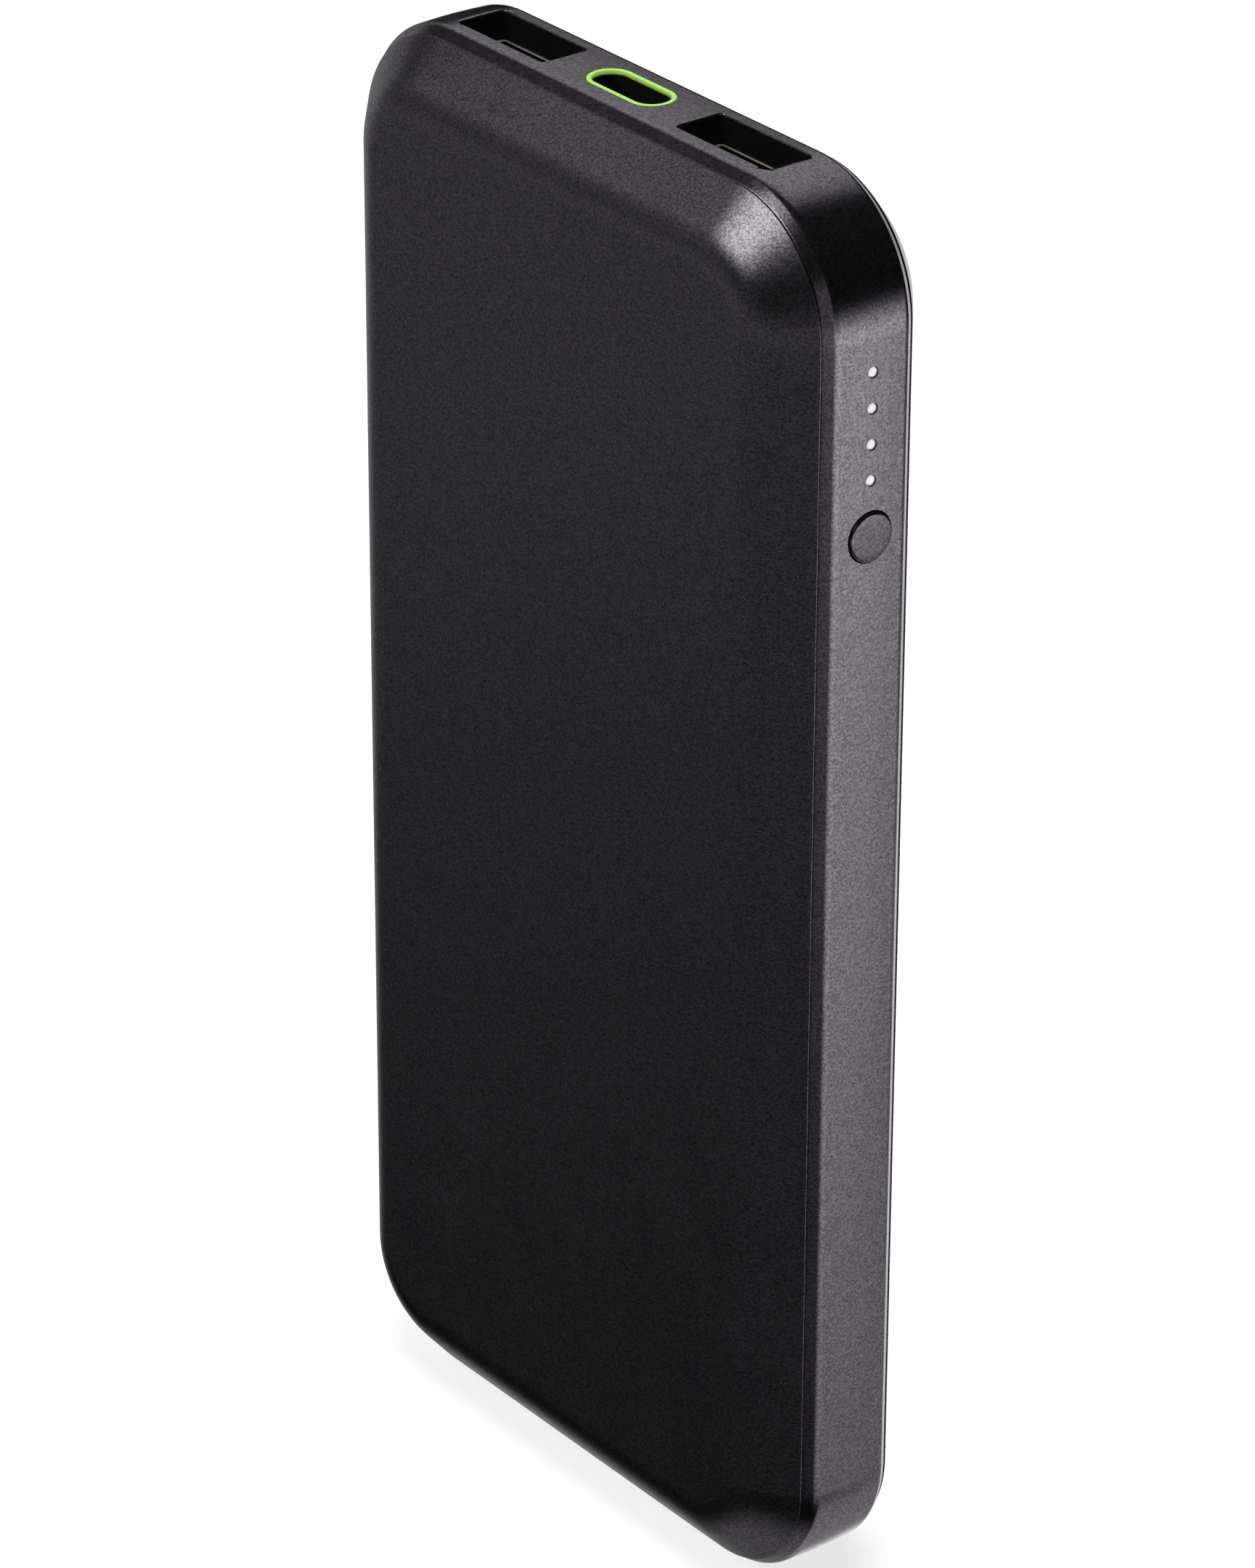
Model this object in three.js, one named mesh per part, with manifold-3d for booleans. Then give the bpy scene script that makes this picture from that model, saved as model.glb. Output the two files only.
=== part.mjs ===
// Power bank: a flat battery pack with two USB-A outlets and one USB-C port on its top end,
// and a round button with four charge lights on its right side.
// Millimetres. X is right, -Y is the front, +Z is up; the origin is the middle of the bottom end.
import * as THREE from 'three';
import { mergeVertices } from 'three/addons/utils/BufferGeometryUtils.js';
import Module from 'manifold-3d';

// Casing
const WIDTH = 69.7;
const HEIGHT = 145;
const CORNER_R = 13.05;
const CORNER_STEPS = 8;
const BAND_Y = 4.0; // half depth of the flat side band
const FRAME_END_Y = 5.1; // where the frame's narrow bevel ends
const FRAME_BEVEL = 1.0;
const FRAME_WALL = 2.0;
const SEAM_GAP = 0.15;
const FIT_GAP = 0.1;
const SEAT_GAP = 0.05;
const FACE_Y = 9.35; // half of the full depth
const FACE_INSET = 5.84; // where the wide bevel would meet the flat face
const FACE_FILLET = 1.1; // length of the rounding on each side of that edge
const COVER_WALL = 1.6;
const LIP_WALL = 1.0;
const LIP_END_Y = 3.6;
const RIM_Y = FRAME_END_Y + SEAM_GAP;
const RIM_INSET = FRAME_BEVEL + 0.05;
const PAD_HALF_X = 26;
const PAD_HALF_Y = 3.4;
const PORT_WALL = 2.95; // thickness of the top end around the ports
const SIDE_X = WIDTH / 2;
const SIDE_INNER_X = SIDE_X - FRAME_WALL;
const CUT_OVER = 0.5; // how far a cutter runs past the wall it cuts

// USB-A outlets
const USB_A_X = 16.3;
const USB_A_HOLE = { x: 13.0, y: 5.3 };
const USB_A_SHELL = { x: 13.1, y: 5.7, z: 14.0, wall: 0.3 };
const USB_A_TONGUE = { x: 11.1, y: 1.84, base: 2.0, recess: 1.85 };
const USB_A_TONGUE_Y = -0.92;
const USB_A_CONTACT = { x: 1.0, y: 0.15, z: 8.5 };
const USB_A_CONTACT_PITCHES = [-3.5, -1.0, 1.0, 3.5];
const SHELL_TOP = HEIGHT - PORT_WALL - SEAT_GAP;

// USB-C port
const USB_C_RING = { x: 10.5, y: 4.6, wall: 0.45, z: 0.4 };
const USB_C_SHELL = { x: 8.94, y: 3.26, z: 7.2, wall: 0.25 };
const USB_C_TONGUE = { x: 6.7, y: 0.7, z: 5.6 };
const USB_C_BASE = { x: 8.2, y: 2.5, z: 1.2 };

// Button and charge lights
const BUTTON_Z = 113;
const BUTTON_HOLE_R = 2.5;
const BUTTON_R = 2.33;
const BUTTON_PROUD = 0.3;
const BUTTON_FLANGE_R = 3.1;
const BUTTON_STEM_R = 0.8;
const LIGHT_TOP_Z = 129;
const LIGHT_PITCH = 3.5;
const LIGHT_COUNT = 4;
const LIGHT_R = 0.45;
const LIGHT_HOLE_R = 0.5;
const LIGHT_BAR = { x: 1.0, y: 2.4, end: 1.2 };

// Boards
const BOARD_Y = 1.7; // front face of the main board
const BOARD_T = 1.0;
const BOARD_HALF_X = 29.4;
const BOARD_BOTTOM = 119.5;
const BOARD_TOP = 141;
const BOARD_CORNER = 10;
const BOARD_SLOT = { x: 13.7, z: 13.6 };
const SCREW_X = 26;
const SCREW_Z = 131;
const SCREW_HEAD_R = 1.5;
const SCREW_R = 0.8;
const BOSS_R = 2.0;
const SIDE_BOARD_X = 30.4;
const SIDE_BOARD = { x: 1.0, y: 6.6, z: 25.4 };
const SIDE_BOARD_Z = 120.7;
const SIDE_FACE_X = SIDE_BOARD_X + SIDE_BOARD.x / 2;

// Cells
const CELL = { x: 56, y: 6.68, bottom: 7.5, top: 110, corner: 3 };
const CELL_TAPE_T = 0.2;
const CELL_Y = CELL.y / 2 + CELL_TAPE_T / 2 + 0.02;
const CELL_SEAL = { x: 48, y: 0.5, top: 114 };
const FOAM = { x: 52, y: 0.8, bottom: 9.5, top: 108, corner: 3 };
const FOAM_Y = 7.3;
const PROTECTION_BOARD = { x: 48, y: 1.0, z: 4.2 };
const PROTECTION_Z = 116.7;
const TAB = { x: 5, t: 0.2, end: 118.3, bend: 116.7 };
const TAB_X = 7.5;
const LEAD_R = 0.6;
const LEAD_X = { red: -18, black: -22 };

const wasm = await Module();
wasm.setup();

function plastic(color, roughness) {
  return new THREE.MeshStandardMaterial({ color, roughness, metalness: 0 });
}

function metal(color, roughness) {
  return new THREE.MeshStandardMaterial({ color, roughness, metalness: 1 });
}

const MATERIALS = {
  cover: plastic(0x26262a, 0.62),
  frame: plastic(0x77737c, 0.42),
  button: plastic(0x6c6871, 0.45),
  accent: plastic(0x9be000, 0.4),
  lens: plastic(0xeceef2, 0.35),
  shell: metal(0xc9cbce, 0.3),
  insulator: plastic(0x0d0d0e, 0.5),
  contact: metal(0xd8ae52, 0.3),
  board: plastic(0x145a34, 0.5),
  chip: plastic(0x17171a, 0.55),
  ferrite: plastic(0x4c4c50, 0.7),
  ceramic: plastic(0xa98a60, 0.5),
  steel: metal(0xa9abaf, 0.35),
  nickel: metal(0xc4c2ba, 0.32),
  pouch: metal(0xb9bcc2, 0.45),
  tape: plastic(0xe8d27a, 0.5),
  foam: plastic(0x2a2a2d, 0.95),
  card: plastic(0x1d3b57, 0.8),
  red: plastic(0xb81f1f, 0.5),
  black: plastic(0x151515, 0.5),
};

const group = new THREE.Group();

function addMesh(name, geometry, material, parent = group) {
  const mesh = new THREE.Mesh(geometry, material);
  mesh.name = name;
  parent.add(mesh);
  return mesh;
}

function addBlock(name, material, size, centre) {
  const mesh = addMesh(name, new THREE.BoxGeometry(...size), material);
  mesh.position.set(...centre);
  return mesh;
}

function toSolid(geometry) {
  const bare = new THREE.BufferGeometry();
  bare.setAttribute('position', geometry.getAttribute('position').clone());
  if (geometry.index) bare.setIndex(geometry.index.clone());
  const merged = mergeVertices(bare, 1e-4);
  const vertProperties = new Float32Array(merged.getAttribute('position').array);
  const triVerts = new Uint32Array(merged.index.array);
  return new wasm.Manifold(new wasm.Mesh({ numProp: 3, vertProperties, triVerts }));
}

function toGeometry(solid) {
  const mesh = solid.getMesh();
  const geometry = new THREE.BufferGeometry();
  geometry.setAttribute('position', new THREE.BufferAttribute(mesh.vertProperties, 3));
  geometry.setIndex(new THREE.BufferAttribute(mesh.triVerts, 1));
  geometry.computeVertexNormals();
  return geometry;
}

// Casing outline in the XZ plane, pulled in by inset; every inset gives the same count of points.
function casingOutline(inset) {
  const radius = CORNER_R - inset;
  const points = [];
  for (let corner = 0; corner < 4; corner += 1) {
    const signX = corner === 0 || corner === 3 ? 1 : -1;
    const signZ = corner < 2 ? 1 : -1;
    const centreX = signX * (WIDTH / 2 - CORNER_R);
    const centreZ = HEIGHT / 2 + signZ * (HEIGHT / 2 - CORNER_R);
    for (let step = 0; step <= CORNER_STEPS; step += 1) {
      const angle = (corner + step / CORNER_STEPS) * Math.PI / 2;
      points.push([centreX + radius * Math.cos(angle), centreZ + radius * Math.sin(angle)]);
    }
  }
  return points;
}

function signedVolume(vertices, faces) {
  const [a, b, c] = [new THREE.Vector3(), new THREE.Vector3(), new THREE.Vector3()];
  let volume = 0;
  for (const [i, j, k] of faces) {
    a.fromArray(vertices[i]);
    b.fromArray(vertices[j]);
    c.fromArray(vertices[k]);
    volume += a.dot(b.cross(c)) / 6;
  }
  return volume;
}

// Skins a list of [inset, y] stations; a shell ends in two flat caps, a ring closes on itself.
function loftCasing(stations, isRing) {
  const vertices = [];
  const faces = [];
  for (const [inset, y] of stations) {
    for (const [x, z] of casingOutline(inset)) vertices.push([x, y, z]);
  }
  const count = vertices.length / stations.length;
  const bands = isRing ? stations.length : stations.length - 1;
  for (let band = 0; band < bands; band += 1) {
    const low = band * count;
    const high = ((band + 1) % stations.length) * count;
    for (let i = 0; i < count; i += 1) {
      const next = (i + 1) % count;
      faces.push([low + i, low + next, high + next], [low + i, high + next, high + i]);
    }
  }
  if (!isRing) {
    const last = (stations.length - 1) * count;
    const middle = vertices.length;
    vertices.push([0, stations[0][1], HEIGHT / 2], [0, stations.at(-1)[1], HEIGHT / 2]);
    for (let i = 0; i < count; i += 1) {
      const next = (i + 1) % count;
      faces.push([middle, next, i], [middle + 1, last + i, last + next]);
    }
  }
  if (signedVolume(vertices, faces) < 0) faces.forEach((face) => face.reverse());
  const geometry = new THREE.BufferGeometry();
  geometry.setAttribute('position', new THREE.Float32BufferAttribute(vertices.flat(), 3));
  geometry.setIndex(faces.flat());
  geometry.computeVertexNormals();
  return geometry;
}

function rectShape(width, height, corner = 0) {
  const [x, y] = [width / 2, height / 2];
  const shape = new THREE.Shape();
  if (corner === 0) {
    shape.moveTo(-x, -y).lineTo(x, -y).lineTo(x, y).lineTo(-x, y).closePath();
    return shape;
  }
  shape.absarc(x - corner, y - corner, corner, 0, Math.PI / 2, false);
  shape.absarc(corner - x, y - corner, corner, Math.PI / 2, Math.PI, false);
  shape.absarc(corner - x, corner - y, corner, Math.PI, Math.PI * 1.5, false);
  shape.absarc(x - corner, corner - y, corner, Math.PI * 1.5, Math.PI * 2, false);
  shape.closePath();
  return shape;
}

// Upright prism from z0 to z1 over a shape in the XY plane.
function prismZ(shape, z0, z1, curveSegments = 4) {
  const geometry = new THREE.ExtrudeGeometry(shape, { depth: z1 - z0, bevelEnabled: false, curveSegments });
  return geometry.translate(0, 0, z0);
}

// Plate from y0 to y1 over a shape drawn in the XZ plane.
function plateY(shape, y0, y1, curveSegments = 4) {
  const geometry = new THREE.ExtrudeGeometry(shape, { depth: y1 - y0, bevelEnabled: false, curveSegments });
  return geometry.rotateX(Math.PI / 2).translate(0, y1, 0);
}

function discX(radius, x0, x1, z, sides) {
  const geometry = new THREE.CylinderGeometry(radius, radius, x1 - x0, sides);
  return geometry.rotateZ(Math.PI / 2).translate((x0 + x1) / 2, 0, z);
}

function discY(radius, y0, y1, x, z, sides) {
  const geometry = new THREE.CylinderGeometry(radius, radius, y1 - y0, sides);
  return geometry.translate(x, (y0 + y1) / 2, z);
}

function slab(size, centre) {
  return new THREE.BoxGeometry(...size).translate(...centre);
}

function lightHeights() {
  return Array.from({ length: LIGHT_COUNT }, (_, index) => LIGHT_TOP_Z - index * LIGHT_PITCH);
}

// Middle frame: the side band with a narrow bevel along each edge, and the port wall at the top.
function buildFrame() {
  const ring = loftCasing([
    [0, -BAND_Y],
    [FRAME_BEVEL, -FRAME_END_Y],
    [FRAME_WALL, -FRAME_END_Y],
    [FRAME_WALL, FRAME_END_Y],
    [FRAME_BEVEL, FRAME_END_Y],
    [0, BAND_Y],
  ], true);
  const padBottom = HEIGHT - PORT_WALL;
  const padTop = HEIGHT - FRAME_WALL + CUT_OVER / 2;
  const pad = slab([PAD_HALF_X * 2, PAD_HALF_Y * 2, padTop - padBottom], [0, 0, (padTop + padBottom) / 2]);
  const low = padBottom - CUT_OVER;
  const high = HEIGHT + CUT_OVER;
  const cuts = [-USB_A_X, USB_A_X].map((x) => {
    return prismZ(rectShape(USB_A_HOLE.x, USB_A_HOLE.y, 0.5), low, high, 2).translate(x, 0, 0);
  });
  const pocket = { x: USB_C_RING.x + FIT_GAP, y: USB_C_RING.y + FIT_GAP };
  const pocketFloor = HEIGHT - USB_C_RING.z - SEAT_GAP;
  cuts.push(prismZ(rectShape(pocket.x, pocket.y, pocket.y / 2), pocketFloor, high, 6));
  const throat = { x: USB_C_RING.x - 2 * USB_C_RING.wall, y: USB_C_RING.y - 2 * USB_C_RING.wall };
  cuts.push(prismZ(rectShape(throat.x, throat.y, throat.y / 2), low, high, 6));
  const wall = [SIDE_INNER_X - CUT_OVER, SIDE_X + CUT_OVER];
  cuts.push(discX(BUTTON_HOLE_R, ...wall, BUTTON_Z, 32));
  for (const z of lightHeights()) cuts.push(discX(LIGHT_HOLE_R, ...wall, z, 12));
  let solid = toSolid(ring).add(toSolid(pad));
  for (const cut of cuts) solid = solid.subtract(toSolid(cut));
  addMesh('mid_frame', toGeometry(solid), MATERIALS.frame);
}

// Stations of one cover, from the middle of its inside, round its lip, to its flat outer face.
function coverStations(side) {
  const slope = (FACE_Y - RIM_Y) / (FACE_INSET - RIM_INSET);
  const tilt = Math.atan(slope);
  const innerStart = [RIM_INSET + COVER_WALL * Math.sin(tilt), RIM_Y - COVER_WALL * Math.cos(tilt)];
  const innerFaceY = FACE_Y - COVER_WALL;
  const innerFaceInset = innerStart[0] + (innerFaceY - innerStart[1]) / slope;
  const lipOuter = FRAME_WALL + FIT_GAP;
  const lipInner = lipOuter + LIP_WALL;
  const lipInnerY = innerStart[1] + slope * (lipInner - innerStart[0]);
  const edge = new THREE.Vector2(FACE_INSET, FACE_Y);
  const filletStart = new THREE.Vector2(-Math.cos(tilt), -Math.sin(tilt)).multiplyScalar(FACE_FILLET).add(edge);
  const filletEnd = new THREE.Vector2(FACE_INSET + FACE_FILLET, FACE_Y);
  const fillet = new THREE.QuadraticBezierCurve(filletStart, edge, filletEnd).getPoints(4);
  const stations = [
    [innerFaceInset, innerFaceY],
    [lipInner, lipInnerY],
    [lipInner, LIP_END_Y],
    [lipOuter, LIP_END_Y],
    [lipOuter, RIM_Y],
    [RIM_INSET, RIM_Y],
    ...fillet.map((point) => point.toArray()),
  ];
  return stations.map(([inset, y]) => [inset, side * y]);
}

function buildCovers() {
  addMesh('front_cover', loftCasing(coverStations(-1), false), MATERIALS.cover);
  let back = toSolid(loftCasing(coverStations(1), false));
  const bossEnd = BOARD_Y + BOARD_T + SEAT_GAP;
  for (const x of [-SCREW_X, SCREW_X]) {
    back = back.add(toSolid(discY(BOSS_R, bossEnd, FACE_Y - COVER_WALL / 2, x, SCREW_Z, 20)));
  }
  for (const x of [-SCREW_X, SCREW_X]) {
    back = back.subtract(toSolid(discY(SCREW_R + 0.05, bossEnd - CUT_OVER, FACE_Y - COVER_WALL, x, SCREW_Z, 12)));
  }
  addMesh('back_cover', toGeometry(back), MATERIALS.cover);
}

// Deep-drawn can: an outline with a closed bottom and an open mouth.
function drawnCan(width, depth, corner, wall, z0, z1, segments) {
  const outer = toSolid(prismZ(rectShape(width, depth, corner), z0, z1, segments));
  const hollow = rectShape(width - 2 * wall, depth - 2 * wall, corner - wall);
  return toGeometry(outer.subtract(toSolid(prismZ(hollow, z0 + wall, z1 + CUT_OVER, segments))));
}

function buildUsbA(side, x) {
  const port = new THREE.Group();
  port.position.x = x;
  group.add(port);
  const bottom = SHELL_TOP - USB_A_SHELL.z;
  const can = drawnCan(USB_A_SHELL.x, USB_A_SHELL.y, 0.6, USB_A_SHELL.wall, bottom, SHELL_TOP, 2);
  addMesh(`usb_a_shell_${side}`, can, MATERIALS.shell, port);
  const floor = bottom + USB_A_SHELL.wall + 0.05;
  const inside = { x: USB_A_SHELL.x - 2 * USB_A_SHELL.wall - 0.2, y: USB_A_SHELL.y - 2 * USB_A_SHELL.wall - 0.2 };
  const base = prismZ(rectShape(inside.x, inside.y, 0.3), floor, floor + USB_A_TONGUE.base, 2);
  const tongueTop = SHELL_TOP - USB_A_TONGUE.recess;
  const blade = prismZ(rectShape(USB_A_TONGUE.x, USB_A_TONGUE.y), floor + 0.5, tongueTop);
  const tongue = toSolid(base).add(toSolid(blade.translate(0, USB_A_TONGUE_Y, 0)));
  addMesh(`usb_a_tongue_${side}`, toGeometry(tongue), MATERIALS.insulator, port);
  const contactY = USB_A_TONGUE_Y + USB_A_TONGUE.y / 2 + USB_A_CONTACT.y / 2 + 0.01;
  USB_A_CONTACT_PITCHES.forEach((offset, index) => {
    const contact = new THREE.BoxGeometry(USB_A_CONTACT.x, USB_A_CONTACT.y, USB_A_CONTACT.z);
    const mesh = addMesh(`usb_a_contact_${side}_${index + 1}`, contact, MATERIALS.contact, port);
    mesh.position.set(offset, contactY, tongueTop - 0.7 - USB_A_CONTACT.z / 2);
  });
}

function buildUsbC() {
  const { x, y, wall, z } = USB_C_RING;
  const outer = toSolid(prismZ(rectShape(x, y, y / 2), HEIGHT - z, HEIGHT, 6));
  const [holeX, holeY] = [x - 2 * wall, y - 2 * wall];
  const hole = toSolid(prismZ(rectShape(holeX, holeY, holeY / 2), HEIGHT - z - CUT_OVER, HEIGHT + CUT_OVER, 6));
  addMesh('usb_c_accent_ring', toGeometry(outer.subtract(hole)), MATERIALS.accent);
  const bottom = SHELL_TOP - USB_C_SHELL.z;
  const corner = USB_C_SHELL.y / 2;
  const can = drawnCan(USB_C_SHELL.x, USB_C_SHELL.y, corner, USB_C_SHELL.wall, bottom, SHELL_TOP, 6);
  addMesh('usb_c_shell', can, MATERIALS.shell);
  const floor = bottom + USB_C_SHELL.wall + 0.05;
  const base = prismZ(rectShape(USB_C_BASE.x, USB_C_BASE.y, USB_C_BASE.y / 2), floor, floor + USB_C_BASE.z, 6);
  const blade = prismZ(rectShape(USB_C_TONGUE.x, USB_C_TONGUE.y), floor + 0.5, floor + USB_C_TONGUE.z);
  addMesh('usb_c_tongue', toGeometry(toSolid(base).add(toSolid(blade))), MATERIALS.insulator);
}

// Cap, retaining flange behind the wall, and the stem that pushes the switch.
function buildButton() {
  const flange = [SIDE_INNER_X - 0.7, SIDE_INNER_X - FIT_GAP];
  const cap = toSolid(discX(BUTTON_R, flange[1] - 0.2, SIDE_X + BUTTON_PROUD, BUTTON_Z, 32));
  const disc = toSolid(discX(BUTTON_FLANGE_R, ...flange, BUTTON_Z, 32));
  const stem = toSolid(discX(BUTTON_STEM_R, flange[0] - 0.25, flange[0] + 0.2, BUTTON_Z, 16));
  addMesh('power_button', toGeometry(cap.add(disc).add(stem)), MATERIALS.button);
}

function buildLights() {
  const heights = lightHeights();
  const barLength = heights[0] - heights.at(-1) + 2 * LIGHT_BAR.end;
  const barX = SIDE_INNER_X - 0.2 - LIGHT_BAR.x / 2;
  const barZ = (heights[0] + heights.at(-1)) / 2;
  let guide = toSolid(slab([LIGHT_BAR.x, LIGHT_BAR.y, barLength], [barX, 0, barZ]));
  for (const z of heights) guide = guide.add(toSolid(discX(LIGHT_R, barX, SIDE_X, z, 12)));
  addMesh('light_guide', toGeometry(guide), MATERIALS.lens);
  heights.forEach((z, index) => {
    addBlock(`indicator_led_${index + 1}`, MATERIALS.lens, [0.6, 0.8, 1.6], [SIDE_FACE_X + 0.32, 0, z]);
  });
}

// Low tactile switch on the side board, under the button.
function buildSwitch() {
  const baseX = [SIDE_FACE_X + 0.02, SIDE_FACE_X + 0.62];
  const wellFloor = baseX[0] + 0.1;
  const base = toSolid(slab([baseX[1] - baseX[0], 3.0, 3.6], [(baseX[0] + baseX[1]) / 2, 0, BUTTON_Z]));
  const well = toSolid(discX(0.95, wellFloor, baseX[1] + CUT_OVER, BUTTON_Z, 16));
  addMesh('switch_base', toGeometry(base.subtract(well)), MATERIALS.insulator);
  const plate = toSolid(slab([0.1, 3.0, 3.6], [baseX[1] + 0.07, 0, BUTTON_Z]));
  const plateHole = toSolid(discX(0.95, baseX[1] - CUT_OVER, baseX[1] + CUT_OVER, BUTTON_Z, 16));
  addMesh('switch_cover', toGeometry(plate.subtract(plateHole)), MATERIALS.steel);
  addMesh('switch_plunger', discX(0.75, wellFloor + 0.32, baseX[1] + 0.24, BUTTON_Z, 16), MATERIALS.insulator);
}

function buildMainBoard() {
  const shape = new THREE.Shape();
  const inner = BOARD_HALF_X - BOARD_CORNER;
  shape.moveTo(-BOARD_HALF_X, BOARD_BOTTOM).lineTo(BOARD_HALF_X, BOARD_BOTTOM);
  shape.lineTo(BOARD_HALF_X, BOARD_TOP - BOARD_CORNER);
  shape.absarc(inner, BOARD_TOP - BOARD_CORNER, BOARD_CORNER, 0, Math.PI / 2, false);
  shape.absarc(-inner, BOARD_TOP - BOARD_CORNER, BOARD_CORNER, Math.PI / 2, Math.PI, false);
  shape.closePath();
  let board = toSolid(plateY(shape, BOARD_Y, BOARD_Y + BOARD_T, 6));
  for (const sign of [-1, 1]) {
    const slot = slab([BOARD_SLOT.x, 4, BOARD_SLOT.z + 2], [sign * USB_A_X, BOARD_Y, BOARD_TOP + 1 - BOARD_SLOT.z / 2]);
    const hole = discY(SCREW_R + 0.3, BOARD_Y - 1, BOARD_Y + 2, sign * SCREW_X, SCREW_Z, 12);
    board = board.subtract(toSolid(slot)).subtract(toSolid(hole));
  }
  addMesh('main_board', toGeometry(board), MATERIALS.board);
  addBlock('side_board', MATERIALS.board, Object.values(SIDE_BOARD), [SIDE_BOARD_X, 0, SIDE_BOARD_Z]);
  [-SCREW_X, SCREW_X].forEach((x, index) => {
    const head = toSolid(discY(SCREW_HEAD_R, BOARD_Y - 1.0, BOARD_Y - 0.05, x, SCREW_Z, 16));
    const shank = toSolid(discY(SCREW_R, BOARD_Y - 0.5, FACE_Y - COVER_WALL - 0.4, x, SCREW_Z, 12));
    addMesh(`board_screw_${index + 1}`, toGeometry(head.add(shank)), MATERIALS.steel);
  });
}

// A part on the front face of the main board, by its size and the middle of its footprint.
function addBoardPart(name, material, [x, y, z], [centreX, centreZ]) {
  addBlock(name, material, [x, y, z], [centreX, BOARD_Y - y / 2 - 0.03, centreZ]);
}

function buildBoardParts() {
  addBoardPart('boost_inductor', MATERIALS.ferrite, [6.6, 3.0, 6.6], [0, 128.4]);
  addBoardPart('power_controller_chip', MATERIALS.chip, [5, 0.9, 5], [-9, 123.6]);
  addBoardPart('protocol_chip', MATERIALS.chip, [4, 0.9, 4], [8, 123.2]);
  addBoardPart('sense_resistor', MATERIALS.chip, [6.3, 0.6, 3.2], [0, 122]);
  addBoardPart('board_header', MATERIALS.insulator, [3.2, 2.5, 6], [28.1, 123.6]);
  [13.6, 18.2].forEach((x, index) => {
    addBoardPart(`power_transistor_${index + 1}`, MATERIALS.chip, [3.3, 0.8, 3.3], [x, 122.9]);
  });
  [-27.2, -25, 22.2, 24.4].forEach((x, index) => {
    addBoardPart(`output_capacitor_${index + 1}`, MATERIALS.ceramic, [1.6, 1.6, 3.2], [x, 122.4]);
  });
}

function addCell(name, side) {
  const middle = (CELL.bottom + CELL.top) / 2;
  const outline = rectShape(CELL.x, CELL.top - CELL.bottom, CELL.corner);
  const body = plateY(outline, side * CELL_Y - CELL.y / 2, side * CELL_Y + CELL.y / 2, 5).translate(0, 0, middle);
  const sealBottom = CELL.top - 1;
  const sealZ = (CELL_SEAL.top + sealBottom) / 2;
  const seal = slab([CELL_SEAL.x, CELL_SEAL.y, CELL_SEAL.top - sealBottom], [0, side * CELL_Y, sealZ]);
  addMesh(name, toGeometry(toSolid(body).add(toSolid(seal))), MATERIALS.pouch);
}

// Foil tab: up from the cell's seal, across to the protection board, then up its face.
function addTab(name, side, x) {
  const boardFace = PROTECTION_BOARD.y / 2 + 0.05;
  const start = CELL_SEAL.top + 0.03;
  const shape = new THREE.Shape();
  shape.moveTo(CELL_Y + TAB.t / 2, start).lineTo(CELL_Y + TAB.t / 2, TAB.bend + TAB.t);
  shape.lineTo(boardFace + TAB.t, TAB.bend + TAB.t).lineTo(boardFace + TAB.t, TAB.end);
  shape.lineTo(boardFace, TAB.end).lineTo(boardFace, TAB.bend);
  shape.lineTo(CELL_Y - TAB.t / 2, TAB.bend).lineTo(CELL_Y - TAB.t / 2, start).closePath();
  const strip = new THREE.ExtrudeGeometry(shape, { depth: TAB.x, bevelEnabled: false });
  strip.rotateX(Math.PI / 2).rotateZ(Math.PI / 2).translate(-TAB.x / 2, 0, 0);
  const mesh = addMesh(name, strip, MATERIALS.nickel);
  mesh.position.x = x;
  if (side < 0) {
    mesh.rotation.z = Math.PI;
  }
}

function addLead(name, material, x) {
  const bow = 0.5;
  const startY = PROTECTION_BOARD.y / 2 + LEAD_R + 0.05;
  const endY = BOARD_Y - LEAD_R - 0.05;
  const route = new THREE.CatmullRomCurve3([
    new THREE.Vector3(x, startY, 115.2),
    new THREE.Vector3(x - bow, startY, 117.4),
    new THREE.Vector3(x + bow, endY, 120.4),
    new THREE.Vector3(x, endY, 123),
  ]);
  const section = new THREE.Shape().absarc(0, 0, LEAD_R, 0, Math.PI * 2, false);
  const options = { extrudePath: route, steps: 12, bevelEnabled: false, curveSegments: 4 };
  addMesh(name, new THREE.ExtrudeGeometry(section, options), material);
}

function buildBattery() {
  const bodyMiddle = (CELL.bottom + CELL.top) / 2;
  addCell('cell_front', -1);
  addCell('cell_back', 1);
  addBlock('cell_tape', MATERIALS.tape, [CELL.x - 10, CELL_TAPE_T, CELL.top - CELL.bottom - 10], [0, 0, bodyMiddle]);
  const foamShape = rectShape(FOAM.x, FOAM.top - FOAM.bottom, FOAM.corner);
  for (const [name, side] of [['foam_pad_front', -1], ['foam_pad_back', 1]]) {
    const y = side * FOAM_Y;
    const pad = plateY(foamShape, y - FOAM.y / 2, y + FOAM.y / 2);
    addMesh(name, pad, MATERIALS.foam).position.z = (FOAM.top + FOAM.bottom) / 2;
  }
  addBlock('protection_board', MATERIALS.board, Object.values(PROTECTION_BOARD), [0, 0, PROTECTION_Z]);
  addBlock('protection_chip', MATERIALS.chip, [4.4, 1.0, 3], [0, -PROTECTION_BOARD.y / 2 - 0.55, PROTECTION_Z]);
  for (const [cell, side] of [['front', -1], ['back', 1]]) {
    addTab(`cell_tab_${cell}_minus`, side, -TAB_X);
    addTab(`cell_tab_${cell}_plus`, side, TAB_X);
  }
  addLead('lead_plus', MATERIALS.red, LEAD_X.red);
  addLead('lead_minus', MATERIALS.black, LEAD_X.black);
  addBlock('insulation_card', MATERIALS.card, [48, 0.25, 20], [0, -7.3, 127.5]);
}

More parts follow.
